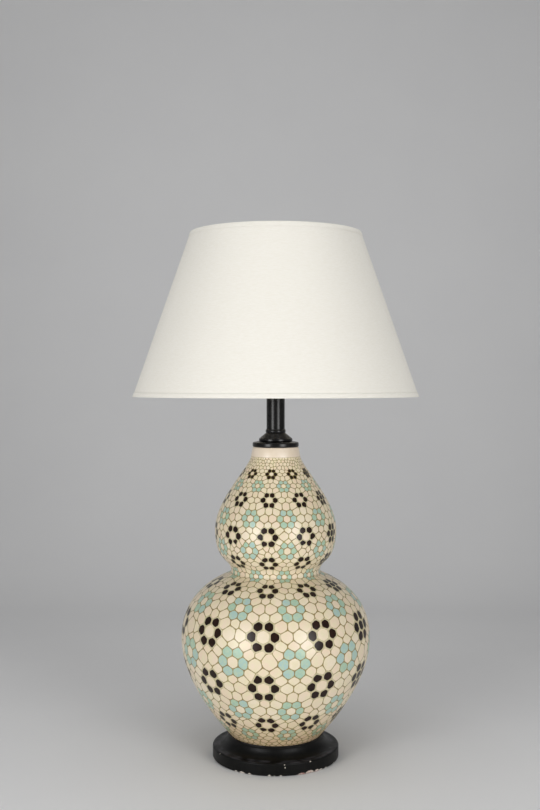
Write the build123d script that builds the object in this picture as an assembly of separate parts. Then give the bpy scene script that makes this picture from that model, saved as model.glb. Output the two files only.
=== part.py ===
"""Double gourd table lamp.

Millimetres, +Z up. The origin is the middle of the base, on the table. The front is towards -Y,
the cord leaves the base towards +Y, and the harp lies in the XZ plane.

The lamp is a stack on one threaded pipe: wooden plinth, ceramic gourd, vase cap, neck, harp saddle
and socket. A lock nut under the plinth and the socket cap at the top clamp the stack together.
The shade hangs by its spider on the harp's stud, under the finial.
"""
from build123d import *
import math
import os

# ---------------------------------------------------------------- clearances
slip = 0.1               # between a piece and the hole or spigot that locates it
rest_gap = 0.2           # between flat faces that turn or lift on each other

# ---------------------------------------------------------------- base
felt_thickness = 2.0
felt_radius = 78.0
felt_proud = 0.5         # the felt stands this far below the wood
plinth_radius = 84.4
band_height = 16.0       # straight band round the foot of the plinth
band_foot_round = 1.4
band_top_round = 2.2
cove_ledge = 1.5         # flat between the band's edge and the cove
cove_height = 11.6
cove_sagitta = 4.2
collar_radius = 64.4     # ring that stands round the gourd's foot
collar_face = 3.4        # height of the ring's straight side, above the cove
collar_round = 1.2
seat_depth = 2.2         # how deep the gourd's foot sits inside the ring
seat_gap = 0.3           # all round the gourd, where it leaves the ring
felt_gap = 0.5           # all round the felt
clamp_thickness = 11.5   # wood between the gourd's seat and the nut recess
recess_radius = 22.0

# ---------------------------------------------------------------- cord inlet
inlet_hole_radius = 4.75
inlet_bore_radius = 3.2
inlet_flange_radius = 5.8
inlet_flange_thickness = 1.5
inlet_length = 13.0      # bushing body, behind its flange
inlet_spotface = 0.6     # flat cut in the band for the flange

# ---------------------------------------------------------------- threaded pipe, nut and washer
pipe_radius = 5.1
pipe_bore_radius = 3.4
pipe_stub = 3.0          # pipe below the lock nut
pipe_in_cap = 6.0        # pipe screwed into the socket cap
washer_radius = 16.0
washer_thickness = 1.5
nut_across_flats = 14.3
nut_thickness = 4.0

# ---------------------------------------------------------------- ceramic gourd
gourd_wall = 5.5
foot_radius = 60.4
foot_rise = 1.2          # straight foot ring under the swelling
foot_slope = 47.6        # degrees from level at which the wall leaves the foot
lower_bulb_rise = 128.7  # foot to the widest place of the lower bulb
lower_bulb_radius = 126.1
waist_rise = 89.2        # widest place of the lower bulb to the waist
waist_radius = 59.4
upper_bulb_rise = 56.0   # waist to the widest place of the upper bulb
upper_bulb_radius = 81.2
neck_rise = 97.5         # widest place of the upper bulb to the plain collar
neck_radius = 33.0
neck_slope = 84.8        # degrees from level at which the wall reaches the collar
mouth_rise = 12.6        # plain collar above the pattern
mouth_radius = 30.7
mouth_round = 1.2
gourd_hole_radius = 6.0

# Fullness of each curve: how far its handles reach, as a share of the curve's own rise
foot_fullness = 0.28
lower_bulb_fullness_below = 0.378
lower_bulb_fullness_above = 0.81
waist_fullness_below = 0.06
waist_fullness_above = 0.329
upper_bulb_fullness_below = 0.805
upper_bulb_fullness_above = 0.399
neck_fullness = 0.14

# ---------------------------------------------------------------- vase cap and neck
cap_radius = 30.9
cap_height = 7.5
cap_crown = 1.5          # rise of the sloping top inside the rounded edge
cap_flat_radius = 23.4
cap_edge_round = 1.8
cap_wall = 1.6
cap_skirt_depth = 5.0
skirt_gap = 0.5          # between the skirt and the neck's bore
flare_radius = 22.4
flare_height = 11.0
flare_rim = 3.4          # height of the flare's rounded lower edge
flare_rim_round = 1.3
flare_top_radius = 13.2
flare_wall = 2.0
bead_radius = 13.5
bead_height = 5.0
bead_bulge = 0.9
tube_radius = 12.2
tube_wall = 1.0
tube_length = 62.0
spigot_height = 3.0      # on the bead ring and the check ring, inside the tube
check_ring_thickness = 2.0

# ---------------------------------------------------------------- harp saddle
saddle_thickness = 1.5
saddle_width = 14.0      # across the middle, round the pipe
saddle_arm_width = 8.0
saddle_half_span = 27.0  # axis of each harp leg
saddle_bend = 4.0        # outside radius of the strip's bends
saddle_arm_height = 25.0
post_radius = 2.0        # half-round post on each arm that the harp leg laps
post_height = 10.0
lap_gap = 0.2            # between post and harp leg

# ---------------------------------------------------------------- harp
harp_height = 178.0      # saddle to the crown, a 7 in harp
harp_wire_radius = 1.75
harp_half_width = 52.0
harp_leg_height = 38.0   # straight leg above the saddle arm
harp_shoulder_low = 69.0     # above the saddle arm
harp_shoulder_high = 114.0   # above the saddle arm
harp_crown_half = 26.0
harp_leg_bend = 20.0
harp_side_bend = 30.0
harp_crown_bend = 24.0
stud_boss_radius = 4.5
stud_boss_depth = 4.2    # boss below the crown wire's axis
stud_flange_radius = 9.0
stud_flange_thickness = 1.5
stud_radius = 3.1        # 1/4-27 thread
stud_height = 10.0
sleeve_radius = 3.2
sleeve_bore_radius = 2.35
sleeve_length = 13.5

# ---------------------------------------------------------------- socket
hub_radius = 8.2
hub_height = 7.5
socket_cap_radius = 17.2
socket_cap_wall = 0.7
socket_dome_height = 7.5
socket_cap_rim = 6.0
shell_wall = 0.5
shell_length = 44.0
shell_overlap = 4.5      # shell inside the cap's rim
shell_rib = 0.5          # how far the shell's ribs stand out
shell_rib_count = 3
shell_rib_pitch = 4.0
liner_wall = 0.5
core_radius = 13.6
core_flange_thickness = 3.0
core_height = 26.0
core_clearance = 2.5     # core above the cap's hub
core_chamfer = 3.0
slot_width = 5.0
spindle_height = 9.0     # above the shell's lower end
screw_shell_wall = 0.4
screw_shell_height = 22.0
contact_thickness = 0.6
contact_width = 5.0
contact_length = 14.0
contact_arch = 1.6
terminal_radius = 2.6
terminal_head = 1.8
set_screw_radius = 1.6
set_screw_length = 4.0
spindle_radius = 1.6
spindle_reach = 29.0     # from the lamp's axis to the spindle's end
knob_radius = 6.5
knob_tip_radius = 5.4
knob_length = 13.0
knob_flutes = 12
knob_flute_radius = 0.8

# ---------------------------------------------------------------- bulb
bulb_length = 108.0
bulb_radius = 30.0
bulb_glass_wall = 0.8
bulb_neck_radius = 13.6
bulb_base_radius = 13.05
bulb_base_height = 19.0
bulb_insulator_height = 4.0
bulb_contact_radius = 4.8
bulb_contact_height = 1.2
bulb_base_wall = 0.5
bulb_shoulder = 18.0     # straight glass neck above the screw base

# ---------------------------------------------------------------- shade
shade_bottom_radius = 190.5
shade_top_radius = 114.3
shade_height = 217.5
cover_thickness = 1.0
lining_thickness = 0.8
trim_thickness = 0.4
trim_height = 6.0
trim_inner_height = 4.5
ring_radius = 1.6        # wire of the top and bottom rings
ring_inset = 0.3         # between a ring and the edge of the cover
ply_gap = 0.05           # glue line between cover, lining and rings
spider_drop = 13.8       # hub's top to the shade's top edge
spider_hub_radius = 12.7
spider_hub_thickness = 2.0
spider_arm_radius = 1.6
spider_arm_count = 3
spider_first_arm = 90.0  # degrees; the first arm points to the back
spider_foot_run = 13.0   # level run beside the hub
spider_rise_run = 18.0   # sloping run up to the ring's level
spider_bend = 8.0

# ---------------------------------------------------------------- finial
finial_base_radius = 6.5
finial_base_height = 8.2
finial_waist_radius = 3.4
finial_ball_radius = 7.4
finial_height = 25.6

# ---------------------------------------------------------------- heights of the stack
wood_z = felt_proud
band_z = wood_z + band_height
collar_z = band_z + cove_height + collar_face
seat_z = collar_z - seat_depth
recess_z = seat_z - clamp_thickness
nut_z = recess_z - washer_thickness - nut_thickness
pipe_z = nut_z - pipe_stub
inlet_z = wood_z + band_height / 2
foot_z = seat_z + foot_rise
lower_bulb_z = foot_z + lower_bulb_rise
waist_z = lower_bulb_z + waist_rise
upper_bulb_z = waist_z + upper_bulb_rise
neck_z = upper_bulb_z + neck_rise
mouth_z = neck_z + mouth_rise
cap_z = mouth_z + cap_height
flare_z = cap_z + flare_height
bead_z = flare_z + bead_height
tube_z = bead_z + tube_length
saddle_z = tube_z + check_ring_thickness
hub_z = saddle_z + saddle_thickness
hub_top_z = hub_z + hub_height
set_screw_z = hub_z + (hub_height - socket_cap_wall) / 2
pipe_top_z = hub_z + pipe_in_cap
socket_cap_z = hub_top_z + socket_dome_height + socket_cap_rim
shell_z = socket_cap_z - shell_overlap
shell_top_z = shell_z + shell_length
spindle_z = shell_z + spindle_height
core_z = hub_top_z + core_clearance
core_top_z = core_z + core_height
bulb_z = core_top_z + contact_arch + rest_gap
bulb_base_z = bulb_z + bulb_contact_height + bulb_insulator_height
bulb_glass_z = bulb_base_z + bulb_base_height
bulb_top_z = bulb_z + bulb_length
arm_top_z = saddle_z + saddle_arm_height
crown_z = saddle_z + harp_height - harp_wire_radius
flange_z = crown_z + harp_wire_radius + stud_flange_thickness
flange_top_z = flange_z + stud_flange_thickness
spider_z = flange_top_z + rest_gap
spider_top_z = spider_z + spider_hub_thickness
shade_top_z = spider_top_z + spider_drop
shade_z = shade_top_z - shade_height
finial_z = spider_top_z + rest_gap
finial_top_z = finial_z + finial_height

# ---------------------------------------------------------------- radii that follow from a fit
foot_swell = max(0, seat_depth - foot_rise) / math.tan(math.radians(foot_slope))
seat_radius = foot_radius + foot_swell + seat_gap
skirt_radius = mouth_radius - gourd_wall - skirt_gap
pipe_hole_radius = pipe_radius + slip
shell_radius = socket_cap_radius - socket_cap_wall - slip
liner_radius = shell_radius - shell_wall - slip
core_flange_radius = liner_radius - liner_wall - slip
screw_shell_bore = bulb_base_radius + 3 * slip
spigot_radius = tube_radius - tube_wall - slip


# ================================================================ helpers
def revolved(outline):
    """Solid turned about the lamp's axis from a face drawn in radius (X) and height (Y)."""
    return revolve(Plane.XZ * outline, Axis.Z)


def outline_of(*points):
    """Closed straight-sided outline through points of (radius, height)."""
    return make_face(Polyline(*points, close=True))


def rounded(outline, radius, *corners):
    """The outline with the corners nearest to the given points rounded."""
    for corner in corners:
        vertex = outline.vertices().sort_by_distance((*corner, 0))[0]
        outline = fillet(vertex, radius)
    return outline


def tube(outer, inner, low, high):
    """Plain ring or tube on the lamp's axis, between two heights."""
    return revolved(outline_of((inner, low), (outer, low), (outer, high), (inner, high)))


def rod(radius, start, direction, length):
    """Round bar from a point along a direction."""
    return extrude(Plane(origin=start, z_dir=direction) * Circle(radius), length)


def bent_wire(points, bends, radius):
    """Round wire along straight runs joined by tangent bends, in the XZ plane."""
    path = Plane.XZ * FilletPolyline(*points, radius=bends)
    start = Plane(origin=path @ 0, z_dir=path % 0)
    return sweep(start * Circle(radius), path=path)


# ================================================================ base
def make_felt_pad():
    """Felt disc glued in the rebate; the lamp stands on it."""
    return Pos(0, 0, felt_thickness / 2) * Cylinder(felt_radius, felt_thickness)


def make_plinth():
    """Turned wooden base: band, cove and collar, with the gourd's seat on top.

    Below are the felt's rebate and the recess for washer and nut, which the cord's hole meets.
    """
    rebate_radius = felt_radius + felt_gap
    collar_foot_z = band_z + cove_height
    edge_z = wood_z
    cove_start = (plinth_radius - cove_ledge - band_top_round, band_z)
    cove_end = (collar_radius, collar_foot_z)
    line = [
        Line((pipe_hole_radius, recess_z), (pipe_hole_radius, seat_z)),
        Line((pipe_hole_radius, seat_z), (seat_radius, seat_z)),
        Line((seat_radius, seat_z), (seat_radius, collar_z)),
        Line((seat_radius, collar_z), (collar_radius, collar_z)),
        Line((collar_radius, collar_z), cove_end),
        SagittaArc(cove_end, cove_start, -cove_sagitta),
        Line(cove_start, (plinth_radius, band_z)),
        Line((plinth_radius, band_z), (plinth_radius, edge_z)),
        Line((plinth_radius, edge_z), (rebate_radius, edge_z)),
        Line((rebate_radius, edge_z), (rebate_radius, felt_thickness)),
        Line((rebate_radius, felt_thickness), (recess_radius, felt_thickness)),
        Line((recess_radius, felt_thickness), (recess_radius, recess_z)),
        Line((recess_radius, recess_z), (pipe_hole_radius, recess_z)),
    ]
    outline = make_face(line)
    outline = rounded(outline, band_top_round, (plinth_radius, band_z))
    outline = rounded(outline, band_foot_round, (plinth_radius, edge_z))
    outline = rounded(outline, collar_round, (collar_radius, collar_z))
    wood = revolved(outline)
    hole = rod(inlet_hole_radius, (0, 0, inlet_z), (0, 1, 0), plinth_radius)
    spotface = rod(inlet_flange_radius + slip, (0, plinth_radius - inlet_spotface, inlet_z),
                   (0, 1, 0), plinth_radius)
    return wood - hole - spotface


def make_cord_bushing():
    """Snap bushing that lines the cord's hole at the back of the plinth."""
    face_y = plinth_radius - inlet_spotface
    body_radius = inlet_hole_radius - slip
    body = rod(body_radius, (0, face_y, inlet_z), (0, -1, 0), inlet_length)
    flange = rod(inlet_flange_radius, (0, face_y, inlet_z), (0, 1, 0), inlet_flange_thickness)
    flange = fillet(flange.edges().sort_by(Axis.Y)[-1], inlet_flange_thickness / 2)
    bore = rod(inlet_bore_radius, (0, face_y - inlet_length, inlet_z), (0, 1, 0),
               inlet_length + inlet_flange_thickness)
    return body + flange - bore


def make_washer():
    """Washer that spreads the nut's load in the recess."""
    return tube(washer_radius, pipe_hole_radius, recess_z - washer_thickness, recess_z)


def make_lock_nut():
    """Hex nut on the pipe, under the washer."""
    hexagon = RegularPolygon(nut_across_flats / 2, 6, major_radius=False)
    blank = extrude(Pos(0, 0, nut_z) * (hexagon - Circle(pipe_radius + slip / 2)), nut_thickness)
    return blank


def make_threaded_pipe():
    """Pipe from the nut recess to the socket cap; it carries the whole stack and the cord."""
    return tube(pipe_radius, pipe_bore_radius, pipe_z, pipe_top_z)


# ================================================================ gourd
def gourd_curves(inset):
    """The gourd's side from foot to collar, moved into the wall by the inset.

    Four curves meet upright at the two bulbs and the waist, and lean at the foot and the collar.
    """
    foot_angle = math.radians(foot_slope)
    neck_angle = math.radians(neck_slope)
    foot = (foot_radius - inset * math.sin(foot_angle), foot_z + inset * math.cos(foot_angle))
    low = (lower_bulb_radius - inset, lower_bulb_z)
    waist = (waist_radius - inset, waist_z)
    high = (upper_bulb_radius - inset, upper_bulb_z)
    neck = (neck_radius - inset * math.sin(neck_angle), neck_z - inset * math.cos(neck_angle))
    rises = [b[1] - a[1] for a, b in zip((foot, low, waist, high), (low, waist, high, neck))]
    foot_handle = foot_fullness * rises[0]
    neck_handle = neck_fullness * rises[3]
    return [
        Bezier(foot,
               (foot[0] + foot_handle * math.cos(foot_angle),
                foot[1] + foot_handle * math.sin(foot_angle)),
               (low[0], low[1] - lower_bulb_fullness_below * rises[0]), low),
        Bezier(low, (low[0], low[1] + lower_bulb_fullness_above * rises[1]),
               (waist[0], waist[1] - waist_fullness_below * rises[1]), waist),
        Bezier(waist, (waist[0], waist[1] + waist_fullness_above * rises[2]),
               (high[0], high[1] - upper_bulb_fullness_below * rises[2]), high),
        Bezier(high, (high[0], high[1] + upper_bulb_fullness_above * rises[3]),
               (neck[0] + neck_handle * math.cos(neck_angle),
                neck[1] - neck_handle * math.sin(neck_angle)), neck),
    ]


def make_gourd_body():
    """Hollow ceramic double gourd, open at the neck and drilled for the pipe at the foot."""
    outside = gourd_curves(0)
    inside = gourd_curves(gourd_wall)
    foot_out = outside[0] @ 0
    foot_in = inside[0] @ 0
    neck_out = outside[-1] @ 1
    neck_in = inside[-1] @ 1
    mouth_in = mouth_radius - gourd_wall
    line = [
        Line((gourd_hole_radius, seat_z), (foot_radius, seat_z)),
        Line((foot_radius, seat_z), foot_out),
        *outside,
        Line(neck_out, (mouth_radius, mouth_z)),
        Line((mouth_radius, mouth_z), (mouth_in, mouth_z)),
        Line((mouth_in, mouth_z), neck_in),
        *inside,
        Line(foot_in, (gourd_hole_radius, foot_in.Y)),
        Line((gourd_hole_radius, foot_in.Y), (gourd_hole_radius, seat_z)),
    ]
    outline = rounded(make_face(line), mouth_round, (mouth_radius, mouth_z))
    return revolved(outline)


# ================================================================ vase cap and neck
def make_vase_cap():
    """Cap over the gourd's mouth, with a skirt that centres it inside the neck."""
    skirt_in = skirt_radius - cap_wall
    edge_z = cap_z - cap_crown
    outline = outline_of(
        (pipe_hole_radius, cap_z), (cap_flat_radius, cap_z), (cap_radius, edge_z),
        (cap_radius, mouth_z), (skirt_radius, mouth_z), (skirt_radius, mouth_z - cap_skirt_depth),
        (skirt_in, mouth_z - cap_skirt_depth), (skirt_in, cap_z - cap_wall),
        (pipe_hole_radius, cap_z - cap_wall))
    outline = rounded(outline, cap_edge_round, (cap_radius, edge_z), (cap_radius, mouth_z))
    return revolved(outline)


def make_neck_flare():
    """Bell-shaped spacer, hollow underneath."""
    rim_z = cap_z + flare_rim
    outline = outline_of(
        (pipe_hole_radius, flare_z), (flare_top_radius, flare_z), (flare_radius, rim_z),
        (flare_radius, cap_z), (flare_radius - flare_wall, cap_z),
        (flare_radius - flare_wall, rim_z - flare_wall / 2),
        (flare_top_radius - flare_wall, flare_z - flare_wall),
        (pipe_hole_radius, flare_z - flare_wall))
    outline = rounded(outline, flare_rim_round, (flare_radius, rim_z), (flare_radius, cap_z))
    return revolved(outline)


def make_neck_bead():
    """Rounded ring under the tube, with a spigot that centres the tube."""
    side = bead_radius - bead_bulge
    outline = make_face([
        Line((pipe_hole_radius, flare_z), (side, flare_z)),
        ThreePointArc((side, flare_z), (bead_radius, (flare_z + bead_z) / 2), (side, bead_z)),
        Line((side, bead_z), (spigot_radius, bead_z)),
        Line((spigot_radius, bead_z), (spigot_radius, bead_z + spigot_height)),
        Line((spigot_radius, bead_z + spigot_height), (pipe_hole_radius, bead_z + spigot_height)),
        Line((pipe_hole_radius, bead_z + spigot_height), (pipe_hole_radius, flare_z)),
    ])
    return revolved(outline)


def make_neck_tube():
    """Plain tube between the bead ring and the check ring."""
    return tube(tube_radius, tube_radius - tube_wall, bead_z, tube_z)


def make_check_ring():
    """Ring that closes the tube and carries the harp saddle."""
    spigot = tube(spigot_radius, pipe_hole_radius, tube_z - spigot_height, tube_z)
    return tube(tube_radius, pipe_hole_radius, tube_z, saddle_z) + spigot


# ================================================================ harp saddle
def make_harp_saddle():
    """Strip bent up into two arms, each with a half-round post that a harp leg laps."""
    reach = saddle_half_span - lap_gap / 2
    inner = reach - saddle_thickness
    strip = outline_of(
        (-reach, saddle_z), (reach, saddle_z), (reach, arm_top_z), (inner, arm_top_z),
        (inner, hub_z), (-inner, hub_z), (-inner, arm_top_z), (-reach, arm_top_z))
    strip = rounded(strip, saddle_bend, (-reach, saddle_z), (reach, saddle_z))
    strip = rounded(strip, saddle_bend - saddle_thickness, (-inner, hub_z), (inner, hub_z))
    arms = extrude(Plane.XZ * strip, saddle_arm_width / 2, both=True)
    pad = extrude(Pos(0, 0, saddle_z) * Circle(saddle_width / 2), saddle_thickness)
    saddle = arms + pad
    for side in (-1, 1):
        post = Pos(side * saddle_half_span, 0, arm_top_z + post_height / 2) * Cylinder(
            post_radius, post_height)
        lap = Pos(side * (reach + post_radius), 0, arm_top_z + post_height / 2) * Box(
            2 * post_radius, 2 * post_radius, post_height)
        saddle += post - lap
    return saddle - rod(pipe_hole_radius, (0, 0, saddle_z), (0, 0, 1), saddle_thickness)


# ================================================================ harp
def make_harp_wire():
    """Bent wire loop; each leg's end is half cut away where it laps the saddle's post."""
    leg_z = arm_top_z + rest_gap
    half = [
        (harp_crown_half, crown_z),
        (harp_half_width, arm_top_z + harp_shoulder_high),
        (harp_half_width, arm_top_z + harp_shoulder_low),
        (saddle_half_span, arm_top_z + harp_leg_height),
        (saddle_half_span, leg_z),
    ]
    bends = [harp_crown_bend, harp_side_bend, harp_side_bend, harp_leg_bend]
    points = [(-x, z) for x, z in reversed(half)] + half
    wire = bent_wire(points, bends[::-1] + bends, harp_wire_radius)
    lap_height = post_height + rest_gap
    lap_width = 2 * harp_wire_radius
    for side in (-1, 1):
        lap_x = side * (saddle_half_span + lap_gap / 2 - lap_width / 2)
        wire -= Pos(lap_x, 0, leg_z + lap_height / 2) * Box(lap_width, lap_width, lap_height)
    return wire


def make_harp_stud():
    """Boss on the harp's crown, with the flange that carries the shade and the finial's thread."""
    boss_z = crown_z - stud_boss_depth
    boss = tube_solid(stud_boss_radius, boss_z, flange_z)
    flange = tube_solid(stud_flange_radius, flange_z, flange_top_z)
    stud = tube_solid(stud_radius, flange_top_z, flange_top_z + stud_height)
    stud = chamfer(stud.edges().sort_by(Axis.Z)[-1], stud_radius / 6)
    wire_hole = rod(harp_wire_radius, (-stud_boss_radius, 0, crown_z), (1, 0, 0),
                    2 * stud_boss_radius)
    return boss + flange + stud - wire_hole


def tube_solid(radius, low, high):
    """Solid round bar on the lamp's axis, between two heights."""
    return rod(radius, (0, 0, low), (0, 0, 1), high - low)


def make_sleeve(side):
    """Sleeve that slides down over the lap of harp leg and saddle post."""
    blank = Circle(sleeve_radius) - Circle(sleeve_bore_radius)
    sleeve = extrude(Pos(side * saddle_half_span, 0, arm_top_z + rest_gap) * blank, sleeve_length)
    return fillet(sleeve.edges().group_by(Axis.Z)[-1].sort_by(SortBy.LENGTH)[-1],
                  (sleeve_radius - sleeve_bore_radius) / 2)


# ================================================================ socket
def dome_arc(foot, rim):
    """Quarter round of a drawn dome, from its foot at the hub to its rim."""
    half = math.sqrt(0.5)
    middle = (foot[0] + (rim[0] - foot[0]) * half, rim[1] - (rim[1] - foot[1]) * half)
    return ThreePointArc(foot, middle, rim)


def make_socket_cap():
    """Drawn cap: threaded hub, dome and the rim that holds the shell."""
    dome_z = hub_top_z + socket_dome_height
    inner = socket_cap_radius - socket_cap_wall
    hub_hole = pipe_radius + slip / 2
    outer_foot = (hub_radius, hub_top_z - socket_cap_wall)
    inner_foot = (hub_radius - socket_cap_wall, hub_top_z)
    outline = make_face([
        Line((hub_hole, hub_z), (hub_radius, hub_z)),
        Line((hub_radius, hub_z), outer_foot),
        dome_arc(outer_foot, (socket_cap_radius, dome_z)),
        Line((socket_cap_radius, dome_z), (socket_cap_radius, socket_cap_z)),
        Line((socket_cap_radius, socket_cap_z), (inner, socket_cap_z)),
        Line((inner, socket_cap_z), (inner, dome_z)),
        dome_arc(inner_foot, (inner, dome_z)),
        Line(inner_foot, (hub_hole, hub_top_z)),
        Line((hub_hole, hub_top_z), (hub_hole, hub_z)),
    ])
    screw_hole = rod(set_screw_radius + slip, (0, 0, set_screw_z), (0, -1, 0), hub_radius)
    return revolved(outline) - screw_hole


def make_set_screw():
    """Slotted screw that locks the cap on the pipe."""
    start_y = -pipe_radius - slip
    screw = rod(set_screw_radius, (0, start_y, set_screw_z), (0, -1, 0), set_screw_length)
    slot = Pos(0, start_y - set_screw_length, set_screw_z) * Box(
        2 * set_screw_radius, set_screw_radius, set_screw_radius / 3)
    return screw - slot


def make_socket_shell():
    """Outer shell with a rolled lip and ribs, slotted at the front for the switch spindle."""
    inner = shell_radius - shell_wall
    line = [(inner, shell_z), (shell_radius, shell_z)]
    first_rib_z = shell_top_z - shell_rib_pitch * (shell_rib_count + 1)
    for rib in range(shell_rib_count):
        rib_z = first_rib_z + rib * shell_rib_pitch
        line += [(shell_radius, rib_z), (shell_radius + shell_rib, rib_z + shell_rib),
                 (shell_radius + shell_rib, rib_z + 2 * shell_rib),
                 (shell_radius, rib_z + 3 * shell_rib)]
    line += [(shell_radius, shell_top_z - 2 * shell_rib),
             (shell_radius + shell_rib, shell_top_z - shell_rib),
             (shell_radius + shell_rib, shell_top_z), (inner, shell_top_z)]
    return revolved(outline_of(*line)) - spindle_slot()


def spindle_slot():
    """Slot from the shell's lower end up past the spindle, at the front."""
    low = shell_z - shell_overlap
    flat = Pos(0, -shell_radius, (low + spindle_z) / 2) * Box(
        slot_width, shell_radius, spindle_z - low)
    return flat + rod(slot_width / 2, (0, -shell_radius / 2, spindle_z), (0, -1, 0), shell_radius)


def make_socket_liner():
    """Insulating sleeve inside the shell."""
    sleeve = tube(liner_radius, liner_radius - liner_wall, shell_z, shell_top_z - shell_wall)
    return sleeve - spindle_slot()


def make_socket_core():
    """Moulded body of the switch, with flats for the terminals and a hole for the spindle."""
    body = tube_solid(core_radius, core_z, core_top_z)
    body = chamfer(body.edges().sort_by(Axis.Z)[0], core_chamfer)
    flange = tube_solid(core_flange_radius, core_top_z - core_flange_thickness, core_top_z)
    core = body + flange
    flat_height = core_height - core_flange_thickness
    for side in (-1, 1):
        core -= Pos(side * core_radius, 0, core_z + flat_height / 2) * Box(
            2 * terminal_head, 2 * core_radius, flat_height)
    hole_depth = core_radius / 2
    return core - rod(spindle_radius + slip, (0, -hole_depth, spindle_z), (0, -1, 0), core_radius)


def make_terminal_screws():
    """Two wire terminals, one on each flat of the core."""
    seat_x = core_radius - terminal_head
    screws = []
    for side in (-1, 1):
        screw = rod(terminal_radius, (side * seat_x, 0, core_z + terminal_radius + terminal_head),
                    (side, 0, 0), terminal_head)
        screws.append(screw)
    return Compound(children=screws)


def make_screw_shell():
    """Metal cup that takes the bulb's screw base."""
    outer = screw_shell_bore + screw_shell_wall
    return tube(outer, screw_shell_bore, core_top_z, core_top_z + screw_shell_height)


def make_centre_contact():
    """Springy strip, arched up towards the bulb's end contact."""
    half = contact_length / 2
    low = core_top_z
    top = core_top_z + contact_arch
    outline = make_face([
        ThreePointArc((-half, low + contact_thickness), (0, top), (half, low + contact_thickness)),
        Line((half, low + contact_thickness), (half, low)),
        ThreePointArc((half, low), (0, top - contact_thickness), (-half, low)),
        Line((-half, low), (-half, low + contact_thickness)),
    ])
    return extrude(Plane.XZ * outline, contact_width / 2, both=True)


def make_switch_spindle():
    """Spindle of the rotary switch, out through the shell's slot."""
    depth = core_radius / 2 + rest_gap
    return rod(spindle_radius, (0, -depth, spindle_z), (0, -1, 0), spindle_reach - depth)


def make_turn_knob():
    """Fluted, slightly tapered knob on the end of the spindle."""
    tip_y = -spindle_reach - knob_length / 4
    back_y = tip_y + knob_length
    back = Plane(origin=(0, back_y, spindle_z), z_dir=(0, -1, 0))
    blank = loft([back * Circle(knob_radius), back.offset(knob_length) * Circle(knob_tip_radius)])
    blank = fillet(blank.edges().sort_by(Axis.Y)[0], knob_tip_radius / 4)
    for flute in range(knob_flutes):
        angle = 360 / knob_flutes * flute
        groove = back * Rot(0, 0, angle) * Pos(knob_radius, 0, knob_length / 2) * Cylinder(
            knob_flute_radius, knob_length)
        blank -= groove
    return blank - rod(spindle_radius + slip / 2, (0, back_y, spindle_z), (0, -1, 0),
                       back_y + spindle_reach)


# ================================================================ bulb
def bulb_outline(inset):
    """Side of the glass, moved inwards by the inset: neck, flank and round head."""
    head_radius = bulb_radius - inset
    head_z = bulb_top_z - bulb_radius
    neck = bulb_neck_radius - inset
    neck_top = (neck, bulb_glass_z + bulb_shoulder / 3)
    widest = (head_radius, head_z)
    flank = Bezier(neck_top, (neck, neck_top[1] + bulb_shoulder),
                   (head_radius, head_z - bulb_shoulder), widest)
    angle = math.radians(45)
    shoulder = (head_radius * math.cos(angle), head_z + head_radius * math.sin(angle))
    head = ThreePointArc(widest, shoulder, (0, head_z + head_radius))
    return [Line((neck, bulb_glass_z), neck_top), flank, head]


def make_bulb_glass():
    """Blown envelope, hollow, standing on the screw base."""
    outside = bulb_outline(0)
    inside = bulb_outline(bulb_glass_wall)
    line = [
        *outside,
        Line(outside[-1] @ 1, inside[-1] @ 1),
        *inside,
        Line(inside[0] @ 0, outside[0] @ 0),
    ]
    return revolved(make_face(line))


def make_bulb_screw_base():
    """Metal screw base, open at the foot for the insulator."""
    inner = bulb_base_radius - bulb_base_wall
    return revolved(outline_of(
        (inner, bulb_base_z), (bulb_base_radius, bulb_base_z), (bulb_base_radius, bulb_glass_z),
        (0, bulb_glass_z), (0, bulb_glass_z - bulb_base_wall),
        (inner, bulb_glass_z - bulb_base_wall)))


def make_bulb_insulator():
    """Glass cone between the screw base and the end contact."""
    low = bulb_z + bulb_contact_height
    return revolved(outline_of(
        (0, low), (bulb_contact_radius + bulb_base_wall, low),
        (bulb_base_radius - bulb_base_wall, bulb_base_z),
        (bulb_base_radius - bulb_base_wall - slip, bulb_base_z + bulb_insulator_height),
        (0, bulb_base_z + bulb_insulator_height)))


def make_bulb_contact():
    """Soldered end contact."""
    outline = outline_of((0, bulb_z), (bulb_contact_radius, bulb_z),
                         (bulb_contact_radius, bulb_z + bulb_contact_height),
                         (0, bulb_z + bulb_contact_height))
    return revolved(rounded(outline, bulb_contact_height * 0.8, (bulb_contact_radius, bulb_z)))


# ================================================================ shade
shade_lean = math.atan2(shade_bottom_radius - shade_top_radius, shade_height)
level = 1 / math.cos(shade_lean)     # a thickness across the cone, measured level


def cone_radius(height, inset):
    """Radius of the shade at a height, moved in from its outside by an inset across the wall."""
    share = (height - shade_z) / shade_height
    outside = shade_bottom_radius + (shade_top_radius - shade_bottom_radius) * share
    return outside - inset * level


def cone_ply(inset, thickness, low, high):
    """One ply of the shade's wall between two heights."""
    return revolved(outline_of(
        (cone_radius(low, inset), low), (cone_radius(high, inset), high),
        (cone_radius(high, inset + thickness), high), (cone_radius(low, inset + thickness), low)))


cover_inset = trim_thickness + ply_gap
lining_inset = cover_inset + cover_thickness + ply_gap
ring_wall_inset = lining_inset + lining_thickness + ply_gap
trim_edge = trim_thickness + ply_gap      # the trim's fold beyond the cover's edge
cover_low_z = shade_z + trim_edge
cover_high_z = shade_top_z - trim_edge
bottom_ring_z = cover_low_z + ring_inset + ring_radius
top_ring_z = cover_high_z - ring_inset - ring_radius


def make_shade_cover():
    """Fabric cone."""
    return cone_ply(cover_inset, cover_thickness, cover_low_z, cover_high_z)


def make_shade_lining():
    """Stiff lining that the fabric is glued to."""
    return cone_ply(lining_inset, lining_thickness, cover_low_z, cover_high_z)


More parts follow.
